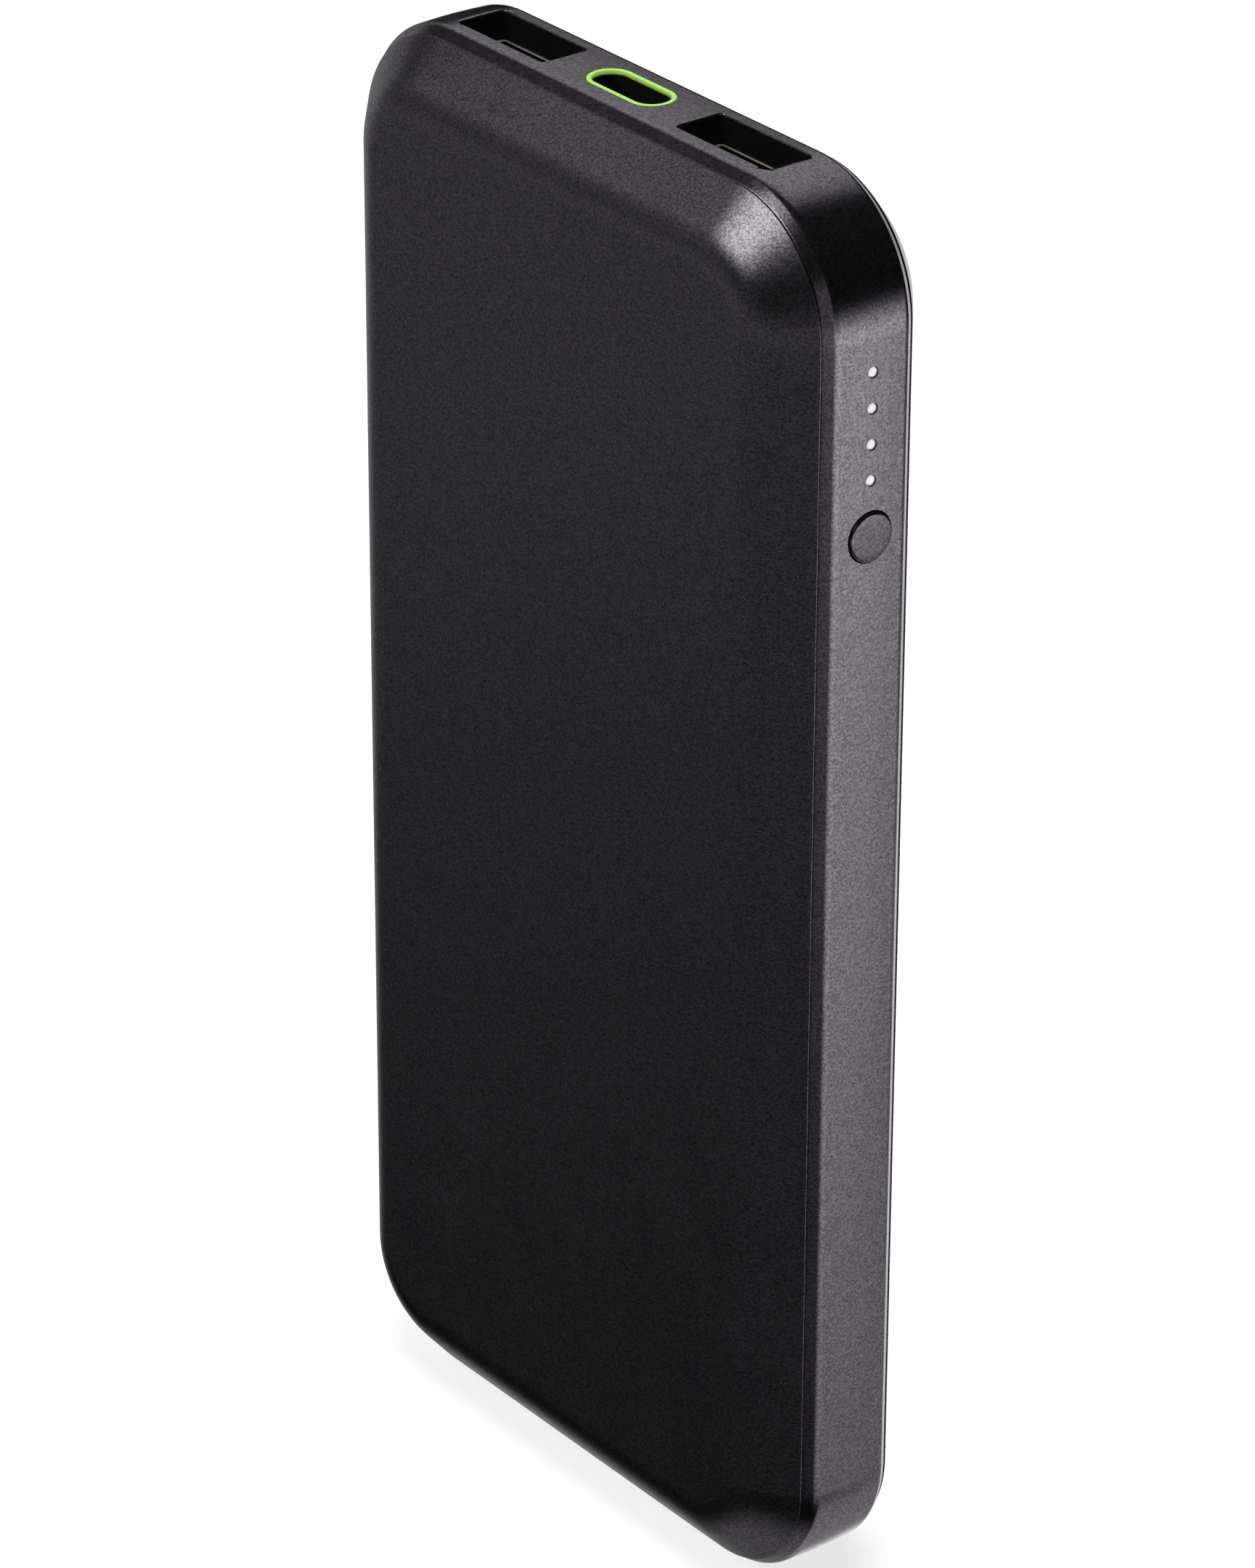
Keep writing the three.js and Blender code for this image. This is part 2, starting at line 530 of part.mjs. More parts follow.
buildFrame();
buildCovers();
buildUsbA('left', -USB_A_X);
buildUsbA('right', USB_A_X);
buildUsbC();
buildButton();
buildLights();
buildSwitch();
buildMainBoard();
buildBoardParts();
buildBattery();

export default group;
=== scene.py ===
import math

import bmesh
import bpy
from mathutils import Matrix, Vector


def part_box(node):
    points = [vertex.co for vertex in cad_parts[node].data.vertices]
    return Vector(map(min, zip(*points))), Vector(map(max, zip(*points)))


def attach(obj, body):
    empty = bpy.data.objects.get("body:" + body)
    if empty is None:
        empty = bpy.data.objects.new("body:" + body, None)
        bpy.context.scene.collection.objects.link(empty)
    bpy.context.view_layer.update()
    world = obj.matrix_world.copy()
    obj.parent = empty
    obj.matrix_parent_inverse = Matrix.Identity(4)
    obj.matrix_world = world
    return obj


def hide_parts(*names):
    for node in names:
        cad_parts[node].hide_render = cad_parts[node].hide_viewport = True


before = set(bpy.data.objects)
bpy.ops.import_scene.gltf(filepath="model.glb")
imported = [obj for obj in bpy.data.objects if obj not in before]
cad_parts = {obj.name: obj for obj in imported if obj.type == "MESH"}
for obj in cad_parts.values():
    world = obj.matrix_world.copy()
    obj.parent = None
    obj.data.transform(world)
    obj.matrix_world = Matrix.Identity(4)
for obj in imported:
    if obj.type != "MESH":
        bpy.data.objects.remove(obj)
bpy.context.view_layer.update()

MM = 0.001

# Casing profile, in millimetres: inset from the outline, and depth from the middle plane.
CORNER_R = 13.05
CORNER_STEPS = 28
SIDE_SPAN = 4.0
BAND_EDGE = (0.10, 4.0)
BAND_CROWN = 0.08
FRAME_END = (1.0, 5.1)
FRAME_WALL = 2.0
RIM = (0.9, 5.17)
FACE_EDGE_INSET = 5.84
COVER_WALL = 1.6
LIP_OUTER = 2.1
LIP_WALL = 1.0
LIP_END_Y = 3.6
PORT_WALL = 2.95
PORT_PAD = (26.0, 3.4)
BOSS_RADIUS = 2.0
BOSS_FOOT_Y = 2.75
SCREW_HOLE_RADIUS = 0.85

# Ports: half sizes across X and Y, corner radii and walls.
WIDE_MOUTH = (6.5, 2.65)
WIDE_MOUTH_CORNER = 0.45
WIDE_MOUTH_ROUNDING = 0.28
WIDE_SHELL = (6.55, 2.85)
WIDE_SHELL_CORNER = 0.6
WIDE_SHELL_WALL = 0.38
WIDE_BLADE = (5.55, 0.92)
WIDE_BLADE_Y = -0.92
WIDE_BASE = (6.15, 2.45)
WIDE_BASE_HEIGHT = 2.0
SLIM_SHELL_WALL = 0.25
SLIM_BLADE = (3.35, 0.35)
SLIM_BASE = (4.1, 1.25)
SLIM_BASE_HEIGHT = 1.2
RING_WALL = 0.45
RING_GAP = 0.04
RING_SEAT = 0.05
RING_INNER_DEPTH = 0.16
# Depth below the top at which the port wells' walls start to be painted black as shade.
WELL_SHADE_TOP = 0.4

# Button and charge lights: radii.
BUTTON_HOLE = 2.5
BUTTON_CAP = 2.42
BUTTON_FLANGE = 3.1
BUTTON_STEM = 0.8
LIGHT_HOLE = 0.5
LIGHT_PIN = 0.45
LIGHT_BAR_DEPTH = 1.0

# A foam pad's corner radius, and how far its pressed edge bulges.
FOAM_CORNER = 3
FOAM_BULGE = 0.45

SHARP_ANGLE = math.radians(32)
CUT_REACH = 5.0  # how far a cutter runs past the side wall, each way

frame_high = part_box("mid_frame")[1]
HALF_WIDTH = frame_high.x / MM
HEIGHT = frame_high.z / MM
FACE_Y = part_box("back_cover")[1].y / MM


# ---------------------------------------------------------------- mesh helpers

def finish_mesh(bm, name):
    """Turns a bmesh, drawn in millimetres, into a smooth-shaded piece in metres."""
    bmesh.ops.recalc_face_normals(bm, faces=bm.faces)
    bmesh.ops.scale(bm, vec=(MM, MM, MM), verts=bm.verts)
    mesh = bpy.data.meshes.new(name)
    bm.to_mesh(mesh)
    bm.free()
    piece = bpy.data.objects.new(name, mesh)
    bpy.context.scene.collection.objects.link(piece)
    set_shading(piece)
    return piece


def set_shading(piece):
    mesh = piece.data
    mesh.shade_smooth()
    mesh.set_sharp_from_angle(angle=SHARP_ANGLE)
    if "weighted" not in piece.modifiers:
        weighted = piece.modifiers.new("weighted", "WEIGHTED_NORMAL")
        weighted.keep_sharp = True


def skin(name, loops, closed=False):
    """A solid through loops of points; it is capped at both ends, or closes on itself."""
    bm = bmesh.new()
    rows = [[bm.verts.new(point) for point in loop] for loop in loops]
    pairs = list(zip(rows, rows[1:]))
    if closed:
        pairs.append((rows[-1], rows[0]))
    for low, high in pairs:
        for i in range(len(low)):
            j = (i + 1) % len(low)
            bm.faces.new((low[i], low[j], high[j], high[i]))
    if not closed:
        bm.faces.new(rows[0])
        bm.faces.new(rows[-1])
    return finish_mesh(bm, name)


def carve(piece, cutter, operation="DIFFERENCE"):
    """Cuts or joins another piece into this one, and removes the other."""
    weighted = piece.modifiers.get("weighted")
    if weighted:
        piece.modifiers.remove(weighted)
    modifier = piece.modifiers.new("carve", "BOOLEAN")
    modifier.operation = operation
    modifier.object = cutter
    modifier.solver = "EXACT"
    graph = bpy.context.evaluated_depsgraph_get()
    mesh = bpy.data.meshes.new_from_object(piece.evaluated_get(graph))
    old = piece.data
    piece.modifiers.clear()
    piece.data = mesh
    mesh.name = piece.name
    bpy.data.meshes.remove(old)
    bpy.data.objects.remove(cutter)
    set_shading(piece)


def bezier(start, control, end, steps):
    points = []
    for i in range(steps + 1):
        t = i / steps
        weights = ((1 - t) ** 2, 2 * t * (1 - t), t * t)
        axes = zip(start, control, end)
        points.append(tuple(sum(w * v for w, v in zip(weights, axis)) for axis in axes))
    return points


def rounded_path(points, radii, steps=5):
    """A polyline with each inner corner rounded; radii are the lengths taken off each side."""
    path = [points[0]]
    for before, corner, after, reach in zip(points, points[1:], points[2:], radii):
        b, c, a = Vector(before), Vector(corner), Vector(after)
        if reach == 0:
            path.append(corner)
            continue
        start = c + (b - c).normalized() * reach
        end = c + (a - c).normalized() * reach
        path.extend(bezier(start, c, end, steps))
    path.append(points[-1])
    return path


def rounded_rect(half_x, half_y, radius, steps):
    """Points of a rounded rectangle, anticlockwise from its right side."""
    points = []
    for corner, (sx, sy) in enumerate(((1, 1), (-1, 1), (-1, -1), (1, -1))):
        for i in range(steps + 1):
            angle = (corner + i / steps) * math.pi / 2
            x = sx * (half_x - radius) + radius * math.cos(angle)
            y = sy * (half_y - radius) + radius * math.sin(angle)
            points.append((x, y))
    return points


def casing_loop(inset, y):
    """The casing's outline at one depth; its straight sides are split into short spans."""
    half_z = HEIGHT / 2
    outline = rounded_rect(HALF_WIDTH - inset, half_z - inset, CORNER_R - inset, CORNER_STEPS)
    points = []
    for index, (x, z) in enumerate(outline):
        points.append((x, y, z + half_z))
        if index % (CORNER_STEPS + 1) == CORNER_STEPS:
            next_x, next_z = outline[(index + 1) % len(outline)]
            spans = max(round(math.hypot(next_x - x, next_z - z) / SIDE_SPAN), 1)
            for i in range(1, spans):
                t = i / spans
                points.append((x + (next_x - x) * t, y, z + (next_z - z) * t + half_z))
    return points


def port_loop(centre_x, half, radius, z, steps=8):
    return [(centre_x + x, y, z) for x, y in rounded_rect(*half, max(radius, 0.02), steps)]


def port_prism(name, centre_x, half, radius, stations, closed=False, steps=8):
    """A solid along Z whose outline grows or shrinks; stations are (growth, z)."""
    loops = []
    for growth, z in stations:
        size = (half[0] + growth, half[1] + growth)
        loops.append(port_loop(centre_x, size, radius + growth, z, steps))
    return skin(name, loops, closed)


def revolve_x(name, profile, centre_z, sides=64):
    """Turns (radius, x) stations about a line along X at the button's height."""
    loops = []
    for radius, x in profile:
        turns = [i * 2 * math.pi / sides for i in range(sides)]
        loops.append([(x, radius * math.cos(a), centre_z + radius * math.sin(a)) for a in turns])
    return skin(name, loops)


def round_over(radius, top, steps=5):
    """Stations that round a hole's mouth: (growth, z) from above the surface downwards."""
    stations = [(radius, top + 1.0)]
    for i in range(steps + 1):
        angle = i / steps * math.pi / 2
        stations.append((radius * (1 - math.sin(angle)), top - radius * (1 - math.cos(angle))))
    return stations


def mirrored(stations):
    return [(inset, -y) for inset, y in reversed(stations)]


# ---------------------------------------------------------------- node helpers

def node_material(name):
    material = bpy.data.materials.new(name)
    material.use_nodes = True
    tree = material.node_tree
    shader = tree.nodes["Principled BSDF"]
    coords = tree.nodes.new("ShaderNodeTexCoord")
    return material, tree, shader, coords.outputs["Object"]


def noise(tree, coords, size_mm, detail=2.0, stretch=None):
    texture = tree.nodes.new("ShaderNodeTexNoise")
    texture.inputs["Scale"].default_value = 1 / (size_mm * MM)
    texture.inputs["Detail"].default_value = detail
    source = coords
    if stretch:
        mapping = tree.nodes.new("ShaderNodeMapping")
        mapping.inputs["Scale"].default_value = stretch
        tree.links.new(coords, mapping.inputs["Vector"])
        source = mapping.outputs["Vector"]
    tree.links.new(source, texture.inputs["Vector"])
    return texture.outputs["Fac"]


def spread(tree, value, low, high, from_low=0.3, from_high=0.7):
    """Maps a texture's value onto a range."""
    ramp = tree.nodes.new("ShaderNodeMapRange")
    ramp.inputs["From Min"].default_value = from_low
    ramp.inputs["From Max"].default_value = from_high
    ramp.inputs["To Min"].default_value = low
    ramp.inputs["To Max"].default_value = high
    tree.links.new(value, ramp.inputs["Value"])
    return ramp.outputs["Result"]


def blend_colors(tree, factor, dark, light):
    mix = tree.nodes.new("ShaderNodeMix")
    mix.data_type = "RGBA"
    mix.inputs["A"].default_value = (*dark, 1)
    mix.inputs["B"].default_value = (*light, 1)
    tree.links.new(factor, mix.inputs["Factor"])
    return mix.outputs["Result"]


def add_bump(tree, shader, height, distance_mm, strength=1.0, below=None):
    bump = tree.nodes.new("ShaderNodeBump")
    bump.inputs["Distance"].default_value = distance_mm * MM
    bump.inputs["Strength"].default_value = strength
    tree.links.new(height, bump.inputs["Height"])
    if below:
        tree.links.new(below, bump.inputs["Normal"])
    tree.links.new(bump.outputs["Normal"], shader.inputs["Normal"])
    return bump.outputs["Normal"]


def grained_paint(name, color, metallic, roughness, grain_mm, grain_height_mm, sparkle):
    """Dark satin paint with fine metal flakes over a fine moulded grain."""
    material, tree, shader, coords = node_material(name)
    flakes = tree.nodes.new("ShaderNodeTexVoronoi")
    flakes.inputs["Scale"].default_value = 1 / (grain_mm * MM)
    tree.links.new(coords, flakes.inputs["Vector"])
    split = tree.nodes.new("ShaderNodeSeparateColor")
    tree.links.new(flakes.outputs["Color"], split.inputs["Color"])
    dark = [c * (1 - sparkle) for c in color]
    light = [c * (1 + sparkle) for c in color]
    flake_mix = spread(tree, split.outputs["Red"], 0, 1, 0, 1)
    tree.links.new(blend_colors(tree, flake_mix, dark, light), shader.inputs["Base Color"])
    cloud = noise(tree, coords, 9.0)
    tree.links.new(spread(tree, cloud, roughness - 0.02, roughness + 0.02), shader.inputs["Roughness"])
    shader.inputs["Metallic"].default_value = metallic
    shader.inputs["Specular IOR Level"].default_value = 0.35
    fine = noise(tree, coords, grain_mm * 1.4, 3.0)
    add_bump(tree, shader, fine, grain_height_mm)
    return material


def moulded(name, color, roughness, grain_mm=0.25, height_mm=0.004, tint=0.12, metallic=0.0, emission=0.0):
    """Plain moulded or plated surface with slight mottling and a fine grain."""
    material, tree, shader, coords = node_material(name)
    cloud = noise(tree, coords, grain_mm * 12)
    dark = [c * (1 - tint) for c in color]
    light = [min(c * (1 + tint), 1) for c in color]
    tree.links.new(blend_colors(tree, cloud, dark, light), shader.inputs["Base Color"])
    tree.links.new(spread(tree, cloud, roughness - 0.03, roughness + 0.03), shader.inputs["Roughness"])
    shader.inputs["Metallic"].default_value = metallic
    if emission:
        shader.inputs["Emission Color"].default_value = (*light, 1)
        shader.inputs["Emission Strength"].default_value = emission
    add_bump(tree, shader, noise(tree, coords, grain_mm), height_mm)
    return material


def brushed(name, color, roughness, stretch, metallic=1.0):
    """Metal drawn or rolled along one axis, with fine lines that way."""
    material, tree, shader, coords = node_material(name)
    lines = noise(tree, coords, 0.12, 3.0, stretch)
    dark = [c * 0.8 for c in color]
    tree.links.new(blend_colors(tree, lines, dark, color), shader.inputs["Base Color"])
    tree.links.new(spread(tree, lines, roughness - 0.06, roughness + 0.08), shader.inputs["Roughness"])
    shader.inputs["Metallic"].default_value = metallic
    add_bump(tree, shader, lines, 0.002)
    return material


def circuit_board(name):
    """Green solder mask with slightly raised copper tracks under it."""
    material, tree, shader, coords = node_material(name)
    tracks = tree.nodes.new("ShaderNodeTexBrick")
    tracks.inputs["Scale"].default_value = 1 / (6 * MM)
    tracks.inputs["Mortar Size"].default_value = 0.03
    tracks.inputs["Mortar Smooth"].default_value = 0.2
    turn = tree.nodes.new("ShaderNodeMapping")
    turn.inputs["Rotation"].default_value = (math.pi / 2, 0, 0)
    tree.links.new(coords, turn.inputs["Vector"])
    tree.links.new(turn.outputs["Vector"], tracks.inputs["Vector"])
    color = blend_colors(tree, tracks.outputs["Fac"], (0.008, 0.09, 0.035), (0.03, 0.2, 0.08))
    tree.links.new(color, shader.inputs["Base Color"])
    mottling = noise(tree, coords, 3.0)
    tree.links.new(spread(tree, mottling, 0.28, 0.4), shader.inputs["Roughness"])
    shader.inputs["Coat Weight"].default_value = 0.4
    add_bump(tree, shader, tracks.outputs["Fac"], 0.03)
    return material


def pouch_foil(name):
    """Aluminium laminate with soft wrinkles and a fine satin grain."""
    material, tree, shader, coords = node_material(name)
    wrinkles = noise(tree, coords, 7.0, 4.0)
    # The colour is darker in the wrinkles' hollows and lighter on their crests, following the bump:
    # painted shade.
    color = blend_colors(tree, wrinkles, (0.42, 0.43, 0.45), (0.62, 0.63, 0.65))
    tree.links.new(color, shader.inputs["Base Color"])
    tree.links.new(spread(tree, wrinkles, 0.34, 0.48), shader.inputs["Roughness"])
    shader.inputs["Metallic"].default_value = 0.9
    coarse = add_bump(tree, shader, wrinkles, 0.25, 0.6)
    add_bump(tree, shader, noise(tree, coords, 0.3), 0.01, 0.6, coarse)
    return material


def foam(name):
    """Closed-cell foam: small open pits over its cut faces."""
    material, tree, shader, coords = node_material(name)
    cells = tree.nodes.new("ShaderNodeTexVoronoi")
    cells.inputs["Scale"].default_value = 1 / (0.6 * MM)
    tree.links.new(coords, cells.inputs["Vector"])
    # The colour is darker in the cells' pits, following the bump: painted shade.
    color = blend_colors(tree, cells.outputs["Distance"], (0.012, 0.012, 0.013), (0.045, 0.045, 0.048))
    tree.links.new(color, shader.inputs["Base Color"])
    tree.links.new(spread(tree, noise(tree, coords, 2.0), 0.85, 0.98), shader.inputs["Roughness"])
    shader.inputs["Sheen Weight"].default_value = 0.2
    add_bump(tree, shader, cells.outputs["Distance"], 0.12)
    return material


MATERIALS = {
    "face": grained_paint("cover_paint", (0.30, 0.278, 0.31), 0.97, 0.28, 0.15, 0.012, 0.45),
    "frame": grained_paint("frame_paint", (0.34, 0.312, 0.352), 0.97, 0.2, 0.18, 0.008, 0.38),
    "button": grained_paint("button_paint", (0.25, 0.231, 0.259), 0.97, 0.24, 0.18, 0.006, 0.35),
    # The accent ring glows by emission: painted light, as the ring is no lamp.
    "accent": moulded("accent_green_painted_glow", (0.50, 0.86, 0.17), 0.35, tint=0.05, emission=0.38),
    "lens": moulded("milky_lens", (0.93, 0.92, 0.92), 0.3, tint=0.03, emission=0.72),
    "shell": brushed("port_nickel", (0.86, 0.81, 0.73), 0.3, (1, 1, 0.06), 0.55),
    # Painted shade: a near-black copy of the port metal, for the cans' side walls deep in the ports.
    "shell_wall_shade": brushed("port_wall_painted_shade", (0.055, 0.05, 0.044), 0.34, (1, 1, 0.06), 0.8),
    # Black moulding for the insulators; it is also put on the port wells' walls as painted shade.
    "insulator": moulded("black_moulding_and_well_shade", (0.012, 0.012, 0.012), 0.42),
    "contact": brushed("gold_plate", (0.83, 0.6, 0.24), 0.22, (1, 1, 0.1)),
    "board": circuit_board("solder_mask"),
    "chip": moulded("epoxy_moulding", (0.016, 0.016, 0.018), 0.5, 0.12, 0.006),
    "ferrite": moulded("sintered_ferrite", (0.07, 0.07, 0.072), 0.62, 0.3, 0.03),
    "ceramic": moulded("tan_ceramic", (0.42, 0.29, 0.15), 0.42, 0.2, 0.006),
    "led": moulded("led_epoxy", (0.88, 0.86, 0.6), 0.25, 0.2, 0.003),
    "steel": brushed("zinc_plate", (0.52, 0.52, 0.54), 0.32, (1, 0.1, 1)),
    "nickel": brushed("nickel_strip", (0.66, 0.64, 0.58), 0.28, (0.1, 1, 1)),
    "pouch": pouch_foil("pouch_foil"),
    "tape": moulded("adhesive_film", (0.72, 0.58, 0.24), 0.35, 0.5, 0.01),
    "foam": foam("cell_foam"),
    "card": moulded("fish_paper", (0.018, 0.045, 0.1), 0.75, 0.4, 0.02),
    "lead_red": moulded("red_silicone", (0.5, 0.02, 0.018), 0.42, 0.4, 0.006),
    "lead_black": moulded("black_silicone", (0.014, 0.014, 0.014), 0.45, 0.4, 0.006),
}


def place(piece, body, slot, material, *nodes):
    """Gives a new piece its material and body, and hides the nodes that it stands for. The slot is not
    used.
    """
    piece.data.materials.clear()
    piece.data.materials.append(MATERIALS[material])
    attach(piece, body)
    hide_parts(*nodes)


# ---------------------------------------------------------------- casing

def frame_profile():
    """Half of the frame's outer profile, from its middle line to its end face."""
    crown = [(BAND_CROWN * (i / 6) ** 2, i / 6 * (BAND_EDGE[1] - 0.7)) for i in range(7)]
    edge = rounded_path([crown[-1], BAND_EDGE, FRAME_END], [0.4], 7)
    end = rounded_path([edge[-2], FRAME_END, (FRAME_WALL, FRAME_END[1])], [0.12], 3)
    return crown + edge[1:-1] + end[1:]


def build_frame():
    half = frame_profile()
    stations = [*mirrored(half[1:]), *half]
    frame_piece = skin("mid_frame_shell", [casing_loop(*station) for station in stations], closed=True)
    pad_top = HEIGHT - FRAME_WALL + 0.3
    pad_stations = [(0, HEIGHT - PORT_WALL), (0, pad_top)]
    carve(frame_piece, port_prism("pad", 0, PORT_PAD, 0.4, pad_stations), "UNION")
    low = HEIGHT - PORT_WALL - 1
    for side in ("left", "right"):
        lo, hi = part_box(f"usb_a_shell_{side}")
        centre = (lo.x + hi.x) / 2 / MM
        stations = [*round_over(WIDE_MOUTH_ROUNDING, HEIGHT), (0, low)]
        carve(frame_piece, port_prism("cut", centre, WIDE_MOUTH, WIDE_MOUTH_CORNER, stations))
    ring_lo, ring_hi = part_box("usb_c_accent_ring")
    half = (ring_hi.x / MM + RING_GAP, ring_hi.y / MM + RING_GAP)
    throat = -RING_WALL - RING_GAP
    pocket_floor = ring_lo.z / MM - RING_SEAT
    stations = [(0, HEIGHT + 1), (0, pocket_floor), (throat, pocket_floor), (throat, low)]
    carve(frame_piece, port_prism("cut", 0, half, half[1], stations, steps=14))
    button_lo, button_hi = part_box("power_button")
    hole = [
        (BUTTON_HOLE + 0.08, HALF_WIDTH + CUT_REACH),
        (BUTTON_HOLE + 0.08, HALF_WIDTH + 0.02),
        (BUTTON_HOLE + 0.03, HALF_WIDTH - 0.05),
        (BUTTON_HOLE, HALF_WIDTH - 0.12),
        (BUTTON_HOLE, HALF_WIDTH - CUT_REACH),
    ]
    carve(frame_piece, revolve_x("cut", hole, (button_lo.z + button_hi.z) / 2 / MM))
    bore = [
        (LIGHT_HOLE + 0.1, HALF_WIDTH + CUT_REACH),
        (LIGHT_HOLE + 0.1, HALF_WIDTH - 0.02),
        (LIGHT_HOLE, HALF_WIDTH - 0.1),
        (LIGHT_HOLE, HALF_WIDTH - CUT_REACH),
    ]
    for height in light_heights():
        carve(frame_piece, revolve_x("cut", bore, height, 24))
    place(frame_piece, "case", "frame", "frame", "mid_frame")
    paint_well_shade(frame_piece)
    settle_band(frame_piece)


def paint_well_shade(frame_piece):
    """Paints the walls of the port openings black below their rounded mouths: painted shade, in the black
    moulding's material.
    """
    frame_piece.data.materials.append(MATERIALS["insulator"])
    for face in frame_piece.data.polygons:
        depth = HEIGHT - face.center.z / MM
        in_ports = abs(face.center.y) < PORT_PAD[1] * MM and abs(face.center.x) < PORT_PAD[0] * MM
        if in_ports and WELL_SHADE_TOP < depth < PORT_WALL + 0.1 and abs(face.normal.z) < 0.5:
            face.material_index = 1


def settle_band(frame_piece):
    """Gives the flat outer band its own normals, which the holes cut in it would bend."""
    graph = bpy.context.evaluated_depsgraph_get()
    mesh = bpy.data.meshes.new_from_object(frame_piece.evaluated_get(graph))
    frame_piece.modifiers.clear()
    frame_piece.data = mesh
    normals = [Vector(corner.vector) for corner in mesh.corner_normals]
    flat_y = BAND_EDGE[1] - 0.7
    for face in mesh.polygons:
        across, along = abs(face.center.x) / MM, abs(face.center.z / MM - HEIGHT / 2)
        on_side = abs(face.normal.x) > 0.99 and across > HALF_WIDTH - 0.2 and along < HEIGHT / 2 - CORNER_R
        on_end = abs(face.normal.z) > 0.99 and along > HEIGHT / 2 - 0.2 and across < HALF_WIDTH - CORNER_R
        if abs(face.center.y) > flat_y * MM or not (on_side or on_end):
            continue
        facing = Vector((round(face.normal.x), 0, round(face.normal.z)))
        for corner in face.loop_indices:
            y = mesh.vertices[mesh.loops[corner].vertex_index].co.y / MM
            slope = 2 * BAND_CROWN * y / flat_y ** 2
            normals[corner] = (facing + Vector((0, slope, 0))).normalized()
    mesh.normals_split_custom_set(normals)


def light_heights():
    boxes = [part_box(f"indicator_led_{i}") for i in range(1, 5)]
    return [(lo.z + hi.z) / 2 / MM for lo, hi in boxes]


def cover_profile():
    """A cover's section, from the middle of its inside, round its lip, to its flat face."""
    slope = (FACE_Y - RIM[1]) / (FACE_EDGE_INSET - RIM[0])
    tilt = math.atan(slope)
    inner_start = (RIM[0] + COVER_WALL * math.sin(tilt), RIM[1] - COVER_WALL * math.cos(tilt))
    inner_face_y = FACE_Y - COVER_WALL
    inner_face_inset = inner_start[0] + (inner_face_y - inner_start[1]) / slope
    lip_inner = LIP_OUTER + LIP_WALL
    lip_inner_y = inner_start[1] + slope * (lip_inner - inner_start[0])
    corners = [
        (inner_face_inset + 2.5, inner_face_y),
        (inner_face_inset, inner_face_y),
        (lip_inner, lip_inner_y),
        (lip_inner, LIP_END_Y),
        (LIP_OUTER, LIP_END_Y),
        (LIP_OUTER, RIM[1]),
        RIM,
        (FACE_EDGE_INSET, FACE_Y),
        (FACE_EDGE_INSET + 3.4, FACE_Y),
    ]
    return rounded_path(corners, [0.6, 0.3, 0.15, 0.15, 0.1, 0.2, 2.3], 8)


def build_cover(name, side):
    loops = [casing_loop(inset, side * y) for inset, y in cover_profile()]
    cover = skin(name + "_shell", loops)
    if side > 0:
        for index in (1, 2):
            lo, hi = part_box(f"board_screw_{index}")
            x, z = (lo.x + hi.x) / 2 / MM, (lo.z + hi.z) / 2 / MM
            boss_span = (BOSS_FOOT_Y, FACE_Y - COVER_WALL / 2)
            hole_span = (BOSS_FOOT_Y - 0.75, FACE_Y - COVER_WALL)
            carve(cover, tube_y("boss", BOSS_RADIUS, x, z, *boss_span), "UNION")
            carve(cover, tube_y("cut", SCREW_HOLE_RADIUS, x, z, *hole_span))
    place(cover, "case", "cover", "face", name)


def tube_y(name, radius, x, z, y0, y1, sides=32):
    """A round bar along Y from y0 to y1."""
    turns = [i * 2 * math.pi / sides for i in range(sides)]
    ring = [(x + radius * math.cos(a), z + radius * math.sin(a)) for a in turns]
    return skin(name, [[(px, y, pz) for px, pz in ring] for y in (y0, y1)])


# ---------------------------------------------------------------- ports

def build_accent_ring():
    lo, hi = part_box("usb_c_accent_ring")
    half = (hi.x / MM, hi.y / MM)
    bottom, top = lo.z / MM, hi.z / MM
    corners = [
        (0, bottom),
        (0, top),
        (-RING_WALL, top),
        (-RING_WALL, top - RING_INNER_DEPTH),
        (-RING_WALL + 0.12, bottom),
    ]
    section = rounded_path(corners, [0.1, 0.1, 0], 4)
    ring = port_prism("port_accent_ring", 0, half, half[1], section, closed=True, steps=16)
    place(ring, "case", "accent", "accent", "usb_c_accent_ring")


def build_shell(node, centre, half, radius, wall, steps):
    """Drawn metal can with a rolled mouth; its side walls are painted near black, as shade."""
    lo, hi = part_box(node)
    top, bottom = hi.z / MM, lo.z / MM
    corners = [
        (-1.2, bottom),
        (0, bottom),
        (0, top),
        (-wall, top),
        (-wall, bottom + wall),
        (-1.2, bottom + wall),
    ]
    section = rounded_path(corners, [0.3, 0.12, 0.12, 0.2], 4)
    shell = port_prism(node + "_can", centre, half, radius, section, steps=steps)
    place(shell, "case", "port_shell", "shell", node)
    # The can's side walls get the painted shade.
    shell.data.materials.append(MATERIALS["shell_wall_shade"])
    for face in shell.data.polygons:
        if abs(face.normal.z) < 0.35:
            face.material_index = 1


def build_tongue(node, centre, blade, blade_y, base, base_height):
    """Insulator: a base block across the shell, and a blade with a chamfered tip."""
    lo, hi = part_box(node)
    top, bottom = hi.z / MM, lo.z / MM
    block = [(-0.1, bottom), (0, bottom + 0.1), (0, bottom + base_height)]
    body = port_prism(node + "_body", centre, base, 0.3, block)
    tip = [(0, bottom + 0.4), (0, top - 0.35), (-0.25, top)]
    part = port_prism("blade", centre, blade, 0.12, tip)
    part.data.transform(Matrix.Translation((0, blade_y * MM, 0)))
    carve(body, part, "UNION")
    place(body, "case", "insulator", "insulator", node)


